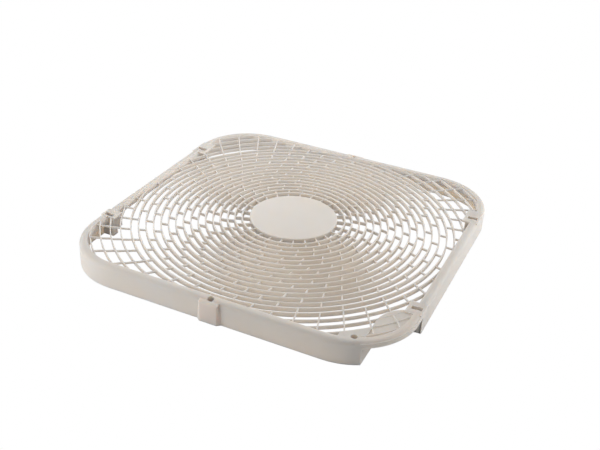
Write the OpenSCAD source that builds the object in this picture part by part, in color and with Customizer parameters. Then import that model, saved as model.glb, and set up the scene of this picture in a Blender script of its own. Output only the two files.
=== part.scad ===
// Fan guard of an air-conditioning outdoor unit, moulded in one piece.
// It lies face up on the lower edge of its skirt, with the origin under the middle of the hub.

/* [Frame] */
// Width of the guard, left to right
size_x = 470; // [460:2:490]
// Depth of the guard between its front and back faces
size_y = 466; // [456:2:486]
// Height from the skirt's lower edge to the face
height = 31.5; // [28:0.5:40]
// Outside radius of the four corners, seen from above
corner_r = 87; // [75:1:95]
// Width of the rim that frames the grille
rim_w = 10.5; // [9:0.5:12]
// Radius of the rim's rounded outer shoulder
shoulder_r = 6.5; // [4:0.5:7]
// Wall of the skirt and of the rim's lip
wall_t = 2.5; // [2:0.1:3]
// Depth of the rim's inner lip
lip_depth = 8; // [7:0.5:10]

/* [Grille] */
// Radius of the closed disc in the middle
hub_r = 61.5; // [55:0.5:64]
// Step from one ring to the next
ring_pitch = 10.2; // [9.6:0.1:10.3]
// Number of full rings round the hub
ring_count = 16; // [14:1:16]
// Step of the wider rings that only show in the corners
corner_pitch = 13.6; // [12:0.1:14]
// Thickness of a ring
ring_t = 1.8; // [1.6:0.1:2.6]
// How far the ring tops dip below the face, half way out
dish_depth = 2.5; // [0:0.1:3]
// Depth of the rings' lower edges below the face, next to the hub
ring_low_hub = 10; // [9:0.5:13]
// Depth of the rings' lower edges below the face, next to the rim
ring_low_rim = 8.5; // [7:0.1:9.5]
// Thickness of the wide rings in the corners
corner_ring_t = 1.5; // [1.4:0.1:2.4]
// Height of the wide rings in the corners
corner_ring_h = 5; // [3.5:0.1:6]
// Ribs in each full ring gap
rib_count = 25; // [20:1:28]
// Thickness of a rib
rib_t = 1.7; // [1.5:0.1:2.6]
// Height of the ribs next to the hub
rib_h_hub = 6; // [4:0.5:7]
// Height of the ribs next to the rim
rib_h_rim = 2.4; // [2:0.1:4]
// How far the ribs next to the hub lie below the ring tops
rib_recess = 2.5; // [1:0.1:3]
// Azimuth at which the first rib leaves the hub
rib_start = 7.6; // [0:0.1:14]
// Lean of the ribs away from the radius, next to the hub
lean_hub = 5; // [0:1:12]
// Lean of the ribs where they sweep back the most
lean_mid = 33; // [20:1:36]
// Lean of the ribs next to the rim
lean_rim = 15; // [8:1:20]
// Radius at which the ribs sweep back the most
lean_mid_r = 130; // [110:1:150]

/* [Screw points] */
// Bore that takes the screw's head and the driver
bore_d = 8.6; // [6:0.1:9]
// Hole for the screw's shank, at the foot of a bore
screw_d = 4.6; // [4:0.1:5.5]
// Wall round the corner bore
bore_wall = 2.4; // [1.5:0.1:3]
// Thickness of the seat under a screw's head
seat_t = 4; // [3:0.5:6]
// Distance of the edge bores from the front and back faces
edge_bore_in = 5; // [4.6:0.1:5.4]
// Width of an edge boss at its foot, where it leaves the skirt
boss_w = 33; // [30:1:40]
// Width of an edge boss at the foot of its outer face
boss_face_w = 23.5; // [20:0.5:29]
// How much narrower an edge boss is at its top
boss_taper = 7; // [4:1:10]
// How far an edge boss stands out of the skirt
boss_out = 4; // [3:0.5:6]
// Height of the edge bosses
boss_h = 29.5; // [26:0.5:31]
// Radius of an edge boss's outer top edge
boss_r = 3.5; // [2:0.5:4]
// Distance of the corner bore from the right face
corner_bore_side = 56; // [54:1:61]
// Distance of the corner bore from the front face
corner_bore_in = 19.3; // [19:0.1:22]
// How far the plate round the corner bore reaches from the bore
pad_reach = 18; // [12:1:24]
// Depth of the plates round the corner bore and the slots below the face
pad_drop = 0.6; // [0.2:0.2:2]

/* [Clip slots] */
// Length of a clip slot
slot_l = 14; // [12:0.5:15]
// Width of a clip slot
slot_w = 7; // [5:0.5:8]
// Distance of the slots from the front to back middle line
slot_y = 125.5; // [122:0.5:128]
// The same distance for the slot at the left front
left_slot_y = 122.5; // [120:0.5:128]
// Distance of the slots' middles from the side faces
slot_in = 10.5; // [10:0.5:12]
// Wall of the sleeve under a slot
sleeve_t = 1.8; // [1.5:0.1:2.5]
// Height of the sleeves' lower ends above the skirt's lower edge
sleeve_z = 1; // [0:1:12]
// Height of the short sleeve's lower end, next to the corner recess
short_sleeve_z = 20; // [16:1:22]
// Length of the full-height wall beside a slot
side_wall_l = 24; // [16:1:30]

/* [Cut-outs] */
// Width of the corner recess, from the right face
recess_w = 43; // [41:1:45]
// Length of the corner recess, from the front face
recess_l = 102; // [99:1:102]
// Radius of the bend between the corner recess's walls
recess_r = 40; // [30:1:45]
// Thickness of the plate over the corner recess
web_t = 2.5; // [2:0.5:4]
// Half the length of the shallow stretch of the left skirt
relief_half = 90; // [60:1:100]
// Height of the shallow stretch's lower edge
relief_h = 14; // [5:1:16]

/* [Hidden] */
$fn = 96;
plastic = [0.84, 0.81, 0.78];
over = 1;
bite = 0.6;
half_x = size_x / 2;
half_y = size_y / 2;
open_x = half_x - rim_w;
open_y = half_y - rim_w;
open_r = corner_r - rim_w;
lip_z = height - lip_depth;
face_t = 3;
edge_chamfer = 0.5;
hub_chamfer = 0.8;
hub_gap = 0.7;
sector = 360 / rib_count;
// Radius reached by the opening's corners, and the wide rings that fit before it
corner_reach = norm([open_x - open_r, open_y - open_r]) + open_r;
last_full_r = hub_r + hub_gap + ring_count * ring_pitch;
corner_count = floor((corner_reach - last_full_r) / corner_pitch);
ring_total = ring_count + corner_count;
// Gaps next to the hub that share their rib lines two by two
paired_gaps = 6;
// Where the dip of the ring tops ends, and where it starts to rise again
dish_r = 165;
dish_end_r = 228;
// Where the ribs start to rise towards the ring tops, and where they reach them
rise_r = 140;
risen_r = 205;
rim_recess = 0.3;
web_z = height - 2;
slot_x = half_x - slot_in;
// Margins of the plate round a slot: towards the grille, towards the middle, and
// towards the corner at the rear slots
pad_in = 4.5;
pad_side = 9.5;
pad_rear = 19;
pad_z = height - pad_drop;
edge_y = half_y - edge_bore_in;
corner_bore_x = half_x - corner_bore_side;
corner_y = half_y - corner_bore_in;
recess_x = half_x - recess_w;
recess_y = half_y - recess_l;

// Radius of ring i, where ring 0 is the hub's wall
function ring_r(i) = i == 0 ? hub_r - ring_t / 2
    : i <= ring_count ? hub_r + hub_gap + i * ring_pitch
    : last_full_r + (i - ring_count) * corner_pitch;

// Blends from a to b, and from 0 to 1 with level ends as r passes from r1 to r2
function mix(a, b, t) = a + (b - a) * t;
function ease(r, r1, r2) = let (t = min(1, max(0, (r - r1) / (r2 - r1)))) t * t * (3 - 2 * t);
function outward(r) = min(1, max(0, (r - hub_r) / (last_full_r - hub_r)));

// The ring tops are level with the face at the hub, dip, and rise again in the corners
function ring_top(r) = height - dish_depth * (ease(r, hub_r, dish_r) - ease(r, dish_end_r, corner_reach));
function ring_low(r) = r > last_full_r + bite
    ? ring_top(r) - corner_ring_h
    : height - mix(ring_low_hub, ring_low_rim, ease(r, rise_r, last_full_r));
function rib_top(r) = ring_top(r) - mix(rib_recess, rim_recess, ease(r, rise_r, risen_r));
function rib_h(r) = mix(rib_h_hub, rib_h_rim, sqrt(outward(r)));

// Angle swept back by a rib line from the hub to ring i
function lean(r) = r < lean_mid_r
    ? mix(lean_hub, lean_mid, (r - hub_r) / (lean_mid_r - hub_r))
    : mix(lean_mid, lean_rim, min(1, (r - lean_mid_r) / (last_full_r - ring_pitch - lean_mid_r)));
function sweep(i) = i == 0 ? 0
    : let (a = ring_r(i - 1), b = ring_r(i), m = (a + b) / 2)
      sweep(i - 1) + tan(lean(m)) * (b - a) / m * 180 / PI;

// Every turn moves the ribs by half their spacing: two gaps share a turn near the hub
function turn(gap) = gap <= paired_gaps ? ceil(gap / 2) - 1 : gap - paired_gaps + 2;
function polar(r, a) = [r * cos(a), r * sin(a)];
function is_whole(i) = ring_r(i) + ring_t < min(open_x, open_y);
function in_opening(p) = norm([
    max(0, abs(p[0]) - (open_x - open_r)),
    max(0, abs(p[1]) - (open_y - open_r))]) < open_r;

module rounded_plan(half_w, half_d, r) {
    square([2 * half_w, 2 * (half_d - r)], center = true);
    square([2 * (half_w - r), 2 * half_d], center = true);
    for (sx = [-1, 1], sy = [-1, 1])
        translate([sx * (half_w - r), sy * (half_d - r)])
            circle(r);
}

// Block from x = -w to 0 with its outer top corner rounded
module shoulder_block(w, h, r) {
    translate([-w, 0])
        square([w, h - r]);
    translate([-w, 0])
        square([w - r, h]);
    translate([-r, h - r])
        circle(r);
}

// Section of the rim: skirt, rounded shoulder, narrow face and inner lip
module rim_section() {
    difference() {
        shoulder_block(rim_w, height, shoulder_r);
        translate([-wall_t, -over])
            shoulder_block(rim_w - 2 * wall_t, height + over - wall_t, shoulder_r - wall_t);
        translate([-rim_w - over, -over])
            square([rim_w + over - wall_t - bite, lip_z + over]);
    }
}

module rim() {
    for (side = [0, 180])
        rotate([0, 0, side]) {
            translate([half_x, 0, 0])
                rotate([90, 0, 0])
                    linear_extrude(size_y - 2 * corner_r, center = true)
                        rim_section();
            translate([0, half_y, 0])
                rotate([90, 0, 90])
                    linear_extrude(size_x - 2 * corner_r, center = true)
                        rim_section();
            translate([half_x - corner_r, half_y - corner_r, 0])
                rotate_extrude(angle = 90)
                    translate([corner_r, 0])
                        rim_section();
            translate([-half_x + corner_r, half_y - corner_r, 0])
                rotate([0, 0, 90])
                    rotate_extrude(angle = 90)
                        translate([corner_r, 0])
                            rim_section();
        }
}

// Plan of the recess in the front right corner, grown by g
module recess_plan(g) {
    x0 = recess_x - g;
    y1 = recess_y - g;
    r = recess_r + g;
    translate([x0 + r, -half_y])
        square([half_x - x0 - r, half_y - y1]);
    translate([x0, -half_y])
        square([half_x - x0, half_y - y1 - r]);
    translate([x0 + r, -y1 - r])
        circle(r);
}

// Walls and plate that close the guard towards the corner recess, up to the open end
// of the rim's right side
module recess_walls() {
    intersection() {
        linear_extrude(height)
            rounded_plan(half_x - bite, half_y - bite, corner_r - bite);
        union() {
            linear_extrude(web_z)
                difference() {
                    recess_plan(wall_t);
                    recess_plan(0);
                    translate([open_x, -half_y])
                        square([rim_w, half_y]);
                }
            translate([0, 0, web_z - web_t])
                linear_extrude(web_t)
                    recess_plan(wall_t);
        }
    }
}

module hub() {
    rotate_extrude() {
        translate([0, height - face_t])
            square([hub_r - hub_chamfer, face_t]);
        translate([hub_r - ring_t, ring_low(hub_r)])
            polygon([
                [0, 0],
                [ring_t, 0],
                [ring_t, height - ring_low(hub_r) - hub_chamfer],
                [ring_t - hub_chamfer, height - ring_low(hub_r)],
                [0, height - ring_low(hub_r)]]);
    }
}

module ring(i) {
    r = ring_r(i);
    side = (i > ring_count ? corner_ring_t : ring_t) / 2;
    top = ring_top(r);
    rotate_extrude()
        polygon([
            [r - side, ring_low(r)],
            [r + side, ring_low(r)],
            [r + side, top - edge_chamfer],
            [r + side - edge_chamfer, top],
            [r - side + edge_chamfer, top],
            [r - side, top - edge_chamfer]]);
}

// Ribs of one gap: straight bars from ring to ring along the swept lines
module gap_ribs(gap) {
    r1 = ring_r(gap - 1);
    r2 = ring_r(gap);
    rm = (r1 + r2) / 2;
    count = gap > ring_count ? 2 * rib_count : rib_count;
    for (k = [0 : count - 1]) {
        a = rib_start + sector * (turn(gap) / 2 + k * rib_count / count);
        p1 = polar(r1, a - sweep(gap - 1));
        p2 = polar(r2, a - sweep(gap));
        d = p2 - p1;
        if (gap <= ring_count || in_opening(p1))
            translate([p1[0], p1[1], rib_top(rm) - rib_h(rm)])
                rotate([0, 0, atan2(d[1], d[0])])
                    translate([0, -rib_t / 2, 0])
                        cube([norm(d), rib_t, rib_h(rm)]);
    }
}

module grille() {
    hub();
    for (i = [1 : ring_total])
        if (is_whole(i)) {
            ring(i);
            gap_ribs(i);
        }
    intersection() {
        linear_extrude(height)
            rounded_plan(open_x + bite, open_y + bite, open_r + bite);
        union() {
            for (i = [1 : ring_total])
                if (!is_whole(i)) {
                    ring(i);
                    gap_ribs(i);
                }
        }
    }
}

// Boss that stands out of the front or back skirt round an edge bore
module edge_boss() {
    intersection() {
        translate([0, half_y + boss_out, 0])
            rotate([90, 0, 90])
                linear_extrude(boss_w + over, center = true)
                    shoulder_block(boss_out + rim_w - bite, boss_h, boss_r);
        translate([0, half_y, 0])
            rotate([90, 0, 0])
                linear_extrude(4 * rim_w, center = true)
                    polygon([
                        [-boss_w / 2, 0],
                        [boss_w / 2, 0],
                        [(boss_w - boss_taper) / 2, boss_h],
                        [(boss_taper - boss_w) / 2, boss_h]]);
        linear_extrude(height)
            polygon([
                [-boss_w / 2, half_y],
                [-boss_face_w / 2, half_y + boss_out],
                [boss_face_w / 2, half_y + boss_out],
                [boss_w / 2, half_y],
                [boss_w / 2, open_y + bite],
                [-boss_w / 2, open_y + bite]]);
    }
}

// Plate, sleeve and side wall of a clip slot at the right rear. The plate's margin on the
// corner's side is outer, the sleeve starts at z0, and the wall runs on to wall_end.
module slot_pad(y, outer, z0, wall_end) {
    wall_y = y - slot_w / 2 - side_wall_l;
    intersection() {
        linear_extrude(height)
            rounded_plan(half_x - bite, half_y - bite, corner_r - bite);
        union() {
            translate([slot_x - slot_l / 2 - pad_in, y - slot_w / 2 - pad_side, pad_z - web_t])
                cube([slot_l + pad_in + slot_in, slot_w + pad_side + outer, web_t]);
            translate([slot_x - slot_l / 2 - sleeve_t, y - slot_w / 2 - sleeve_t, z0])
                cube([slot_l + 2 * sleeve_t, slot_w + 2 * sleeve_t, pad_z - z0]);
            translate([open_x, wall_y, 0])
                cube([wall_t, wall_end - wall_y, lip_z + bite]);
        }
    }
}

module slot_cut(y, z0) {
    translate([slot_x - slot_l / 2, y - slot_w / 2, z0 - over])
        cube([slot_l, slot_w, height]);
}

module screw_cut(z1) {
    translate([0, 0, -over])
        cylinder(h = z1 + 2 * over, d = screw_d);
    translate([0, 0, seat_t])
        cylinder(h = height, d = bore_d);
}

// Boss of the corner bore, and the plate that fills the grille from it to the recess
module corner_boss() {
    pad_x = corner_bore_x - pad_reach;
    translate([corner_bore_x, -corner_y, 0])
        cylinder(h = pad_z, d = bore_d + 2 * bore_wall);
    translate([0, 0, pad_z - web_t])
        linear_extrude(web_t)
            intersection() {
                difference() {
                    rounded_plan(open_x + bite, open_y + bite, open_r + bite);
                    circle(ring_r(ring_count + 3));
                }
                translate([pad_x, -half_y])
                    square([recess_x - wall_t / 2 - pad_x, half_y - recess_y]);
            }
}

module fan_guard() {
    color(plastic)
        difference() {
            union() {
                difference() {
                    rim();
                    translate([recess_x, -half_y - over, -over])
                        cube([half_x, half_y - recess_y + over, lip_z + over]);
                    translate([-half_x - over, -relief_half, -over])
                        cube([rim_w, 2 * relief_half, relief_h + over]);
                }
                recess_walls();
                grille();
                corner_boss();
                for (m = [0, 1])
                    mirror([0, m, 0])
                        edge_boss();
                for (m = [0, 1])
                    mirror([m, 0, 0])
                        slot_pad(slot_y, pad_rear, sleeve_z, slot_y);
                mirror([0, 1, 0])
                    slot_pad(slot_y, pad_side, short_sleeve_z, recess_y + bite);
                rotate([0, 0, 180])
                    slot_pad(left_slot_y, sleeve_t, sleeve_z, left_slot_y);
            }
            for (m = [0, 1]) {
                mirror([m, 0, 0])
                    slot_cut(slot_y, sleeve_z);
                mirror([0, m, 0])
                    translate([0, edge_y, 0])
                        screw_cut(height);
            }
            mirror([0, 1, 0])
                slot_cut(slot_y, short_sleeve_z);
            rotate([0, 0, 180])
                slot_cut(left_slot_y, sleeve_z);
            translate([corner_bore_x, -corner_y, 0])
                screw_cut(height);
        }
}

fan_guard();
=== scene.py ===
import math

import bmesh
import bpy
from mathutils import Matrix, Vector


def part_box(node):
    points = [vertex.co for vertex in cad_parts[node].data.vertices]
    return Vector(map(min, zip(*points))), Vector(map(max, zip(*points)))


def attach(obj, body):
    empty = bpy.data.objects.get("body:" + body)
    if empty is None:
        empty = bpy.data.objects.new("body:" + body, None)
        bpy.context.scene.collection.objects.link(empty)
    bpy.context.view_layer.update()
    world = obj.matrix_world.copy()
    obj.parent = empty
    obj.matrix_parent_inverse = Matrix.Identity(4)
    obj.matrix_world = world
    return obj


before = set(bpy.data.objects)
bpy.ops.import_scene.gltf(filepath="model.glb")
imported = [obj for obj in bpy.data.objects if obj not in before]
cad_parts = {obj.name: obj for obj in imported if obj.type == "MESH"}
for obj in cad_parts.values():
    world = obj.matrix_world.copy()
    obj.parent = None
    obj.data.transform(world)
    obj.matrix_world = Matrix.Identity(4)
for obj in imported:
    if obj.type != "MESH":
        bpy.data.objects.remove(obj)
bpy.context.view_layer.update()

# Camera: the photograph's viewing angle, in degrees and metres, in the part's frame.
CAMERA_AT = Vector((0.4258, -0.9483, 0.6214))
CAMERA_YAW = 23.65
CAMERA_PITCH = 30.13
CAMERA_ROLL = 3.26
CAMERA_LENS_MM = 50.95
CAMERA_SENSOR_MM = 36.0

# The rim's right side ends open at the front right corner recess, and a curved wall closes it.
# Its sizes are in metres.
RIM_WIDTH = 0.0105
RECESS_LENGTH = 0.106
RECESS_WIDTH = 0.043
RECESS_BEND = 0.040
WALL = 0.0025
WALL_TOP = 0.0275
WALL_STEPS = 8

# Colours are linear RGB.
PLASTIC = (0.862, 0.782, 0.722)
PLASTIC_WARM = (0.838, 0.748, 0.678)
PLASTIC_EDGE = (0.875, 0.820, 0.775)
FLOOR = (0.95, 0.95, 0.95)
WORLD = (1.0, 0.99, 0.98)
WHITE = (1.0, 1.0, 1.0)
WORLD_STRENGTH = 0.29

# Plastic: the noises' scales are repeats per metre, the rest is in metres.
DRIFT_SCALE = 9.0
GRAIN_SCALE = 1400.0
GRAIN_DEPTH = 0.0002
EDGE_RADIUS = 0.0007
SCATTER_SCALE = 0.007
SCATTER_RADIUS = (1.0, 0.85, 0.7)

FLOOR_SIZE = 40.0
FLOOR_DROP = 0.0005

# Lamps: place and size in metres, power in watts.
LAMPS = {
    "overhead": {"place": (-0.15, 0.12, 0.5), "size": 0.3, "power": 1.2},
    "left": {"place": (-0.82, -0.75, 0.28), "size": 0.5, "power": 4.2},
    "right": {"place": (1.0, 0.7, 0.4), "size": 0.6, "power": 7.3},
}

# The colour sockets of a Mix node: its two inputs and its result.
MIX_A = 6
MIX_B = 7
MIX_RESULT = 2


def node_at(tree, kind, x, y, **inputs):
    """A new node of that kind, with its sockets' constant values set."""
    node = tree.nodes.new(kind)
    node.location = (x, y)
    for name, value in inputs.items():
        node.inputs[name.replace("_", " ")].default_value = value
    return node


def new_material(name):
    """An empty material with its output node."""
    material = bpy.data.materials.new(name)
    material.use_nodes = True
    material.node_tree.nodes.clear()
    output = node_at(material.node_tree, "ShaderNodeOutputMaterial", 1200, 0)
    return material, material.node_tree, output


def mix_colours(tree, factor, colour_a, colour_b, x, y):
    """A colour mix; each colour is a tuple or a socket."""
    mix = tree.nodes.new("ShaderNodeMix")
    mix.data_type = "RGBA"
    mix.location = (x, y)
    tree.links.new(factor, mix.inputs["Factor"])
    for socket, colour in ((mix.inputs[MIX_A], colour_a), (mix.inputs[MIX_B], colour_b)):
        if isinstance(colour, tuple):
            socket.default_value = (*colour, 1.0)
        else:
            tree.links.new(colour, socket)
    return mix.outputs[MIX_RESULT]


def plastic_material():
    """Warm grey moulded plastic: slow colour drift, fine mould grain, soft lighter edges."""
    material, tree, output = new_material("guard_plastic")
    place = node_at(tree, "ShaderNodeTexCoord", -1200, 0).outputs["Object"]

    drift = node_at(tree, "ShaderNodeTexNoise", -900, 300, Scale=DRIFT_SCALE, Detail=3.0, Roughness=0.6)
    tree.links.new(place, drift.inputs["Vector"])
    drift_range = node_at(tree, "ShaderNodeMapRange", -700, 300, From_Min=0.35, From_Max=0.7)
    tree.links.new(drift.outputs["Fac"], drift_range.inputs["Value"])
    body = mix_colours(tree, drift_range.outputs["Result"], PLASTIC, PLASTIC_WARM, -480, 300)

    # An edge is where the rounded normal turns away from the true one.
    rounded = tree.nodes.new("ShaderNodeBevel")
    rounded.samples = 6
    rounded.location = (-900, -350)
    rounded.inputs["Radius"].default_value = EDGE_RADIUS
    true_normal = node_at(tree, "ShaderNodeNewGeometry", -900, -550)
    dot = tree.nodes.new("ShaderNodeVectorMath")
    dot.operation = "DOT_PRODUCT"
    dot.location = (-700, -450)
    tree.links.new(rounded.outputs["Normal"], dot.inputs[0])
    tree.links.new(true_normal.outputs["Normal"], dot.inputs[1])
    edge = node_at(tree, "ShaderNodeMapRange", -480, -450, From_Min=1.0, From_Max=0.8, To_Max=0.6)
    tree.links.new(dot.outputs["Value"], edge.inputs["Value"])
    colour = mix_colours(tree, edge.outputs["Result"], body, PLASTIC_EDGE, -200, 200)

    grain = node_at(tree, "ShaderNodeTexNoise", -900, 0, Scale=GRAIN_SCALE, Detail=4.0, Roughness=0.65)
    tree.links.new(place, grain.inputs["Vector"])
    bump = node_at(tree, "ShaderNodeBump", -200, -300, Strength=0.12, Distance=GRAIN_DEPTH)
    tree.links.new(grain.outputs["Fac"], bump.inputs["Height"])
    tree.links.new(rounded.outputs["Normal"], bump.inputs["Normal"])
    rough = node_at(tree, "ShaderNodeMapRange", -480, 0, To_Min=0.48, To_Max=0.62)
    tree.links.new(drift.outputs["Fac"], rough.inputs["Value"])

    shader = node_at(tree, "ShaderNodeBsdfPrincipled", 500, 0)
    shader.inputs["Specular IOR Level"].default_value = 0.35
    shader.inputs["Subsurface Weight"].default_value = 1.0
    shader.inputs["Subsurface Scale"].default_value = SCATTER_SCALE
    shader.inputs["Subsurface Radius"].default_value = SCATTER_RADIUS
    tree.links.new(colour, shader.inputs["Base Color"])
    tree.links.new(rough.outputs["Result"], shader.inputs["Roughness"])
    tree.links.new(bump.outputs["Normal"], shader.inputs["Normal"])
    tree.links.new(shader.outputs["BSDF"], output.inputs["Surface"])
    return material


def add_recess_end_wall(material):
    """The wall across the end of the rim's right side, which follows the recess's bend."""
    low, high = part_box("fan_guard")
    bend_x = high[0] - RECESS_WIDTH + RECESS_BEND
    bend_y = low[1] + RECESS_LENGTH - RECESS_BEND
    left, right = high[0] - RIM_WIDTH, high[0] - WALL / 2
    front = []
    for i in range(WALL_STEPS + 1):
        x = left + (right - left) * i / WALL_STEPS
        across = min(0.0, x - bend_x)
        front.append((x, bend_y + math.sqrt(RECESS_BEND ** 2 - across ** 2)))
    plan = front + [(x, y + WALL) for x, y in reversed(front)]
    mesh = bpy.data.meshes.new("recess_end_wall")
    build = bmesh.new()
    foot = build.faces.new([build.verts.new((x, y, low[2])) for x, y in plan])
    raised = bmesh.ops.extrude_face_region(build, geom=[foot])["geom"]
    lifted = [part for part in raised if isinstance(part, bmesh.types.BMVert)]
    bmesh.ops.translate(build, verts=lifted, vec=(0, 0, WALL_TOP - low[2]))
    bmesh.ops.recalc_face_normals(build, faces=build.faces)
    build.to_mesh(mesh)
    build.free()
    wall = bpy.data.objects.new("recess_end_wall", mesh)
    bpy.context.collection.objects.link(wall)
    wall.data.materials.append(material)
    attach(wall, "root")


def floor_material():
    """Pale floor that the camera sees as plain white."""
    material, tree, output = new_material("floor_white")
    diffuse = node_at(tree, "ShaderNodeBsdfDiffuse", 400, -100)
    diffuse.inputs["Color"].default_value = (*FLOOR, 1.0)
    glow = node_at(tree, "ShaderNodeEmission", 400, 100, Strength=1.0)
    light_path = node_at(tree, "ShaderNodeLightPath", 400, 400)
    mix = node_at(tree, "ShaderNodeMixShader", 800, 0)
    tree.links.new(light_path.outputs["Is Camera Ray"], mix.inputs["Fac"])
    tree.links.new(diffuse.outputs["BSDF"], mix.inputs[1])
    tree.links.new(glow.outputs["Emission"], mix.inputs[2])
    tree.links.new(mix.outputs["Shader"], output.inputs["Surface"])
    return material


def add_floor():
    """A floor wide enough to fill the view from any side."""
    bpy.ops.mesh.primitive_plane_add(size=FLOOR_SIZE, location=(0, 0, -FLOOR_DROP))
    floor = bpy.context.object
    floor.name = "floor"
    floor.data.materials.append(floor_material())


def add_area_light(name, place, size, power):
    """A square soft light at that place, in metres, which looks at the hub."""
    data = bpy.data.lights.new(name, "AREA")
    data.shape = "SQUARE"
    data.size = size
    data.energy = power
    light = bpy.data.objects.new(name, data)
    bpy.context.collection.objects.link(light)
    light.location = Vector(place)
    light.rotation_euler = (-light.location).to_track_quat("-Z", "Y").to_euler()


def add_camera():
    """The photograph's camera, turned from its yaw, pitch and roll."""
    yaw, pitch, roll = (math.radians(v) for v in (CAMERA_YAW, CAMERA_PITCH, CAMERA_ROLL))
    forward = Vector((-math.sin(yaw), math.cos(yaw), 0.0)) * math.cos(pitch)
    forward.z = -math.sin(pitch)
    level = Vector((math.cos(yaw), math.sin(yaw), 0.0))
    upright = level.cross(forward)
    right = math.cos(roll) * level + math.sin(roll) * upright
    up = right.cross(forward)
    data = bpy.data.cameras.new("camera")
    data.sensor_width = CAMERA_SENSOR_MM
    data.lens = CAMERA_LENS_MM
    camera = bpy.data.objects.new("camera", data)
    bpy.context.collection.objects.link(camera)
    turn = Matrix((right, up, -forward)).transposed().to_4x4()
    camera.matrix_world = Matrix.Translation(CAMERA_AT) @ turn
    bpy.context.scene.camera = camera


def add_world():
    """Even pale surroundings, which the camera sees as plain white."""
    world = bpy.data.worlds.new("studio")
    world.use_nodes = True
    tree = world.node_tree
    surround = tree.nodes["Background"]
    surround.inputs["Color"].default_value = (*WORLD, 1.0)
    surround.inputs["Strength"].default_value = WORLD_STRENGTH
    white = node_at(tree, "ShaderNodeBackground", 0, -200, Color=(*WHITE, 1.0), Strength=1.0)
    light_path = node_at(tree, "ShaderNodeLightPath", 0, 500)
    mix = node_at(tree, "ShaderNodeMixShader", 400, 0)
    tree.links.new(light_path.outputs["Is Camera Ray"], mix.inputs["Fac"])
    tree.links.new(surround.outputs["Background"], mix.inputs[1])
    tree.links.new(white.outputs["Background"], mix.inputs[2])
    tree.links.new(mix.outputs["Shader"], tree.nodes["World Output"].inputs["Surface"])
    bpy.context.scene.world = world


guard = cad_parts["fan_guard"]
plastic = plastic_material()
guard.data.materials.clear()
guard.data.materials.append(plastic)
add_recess_end_wall(plastic)

add_floor()
for lamp_name, lamp in LAMPS.items():
    add_area_light(lamp_name, **lamp)
add_world()
add_camera()
bpy.context.scene.view_settings.view_transform = "Standard"
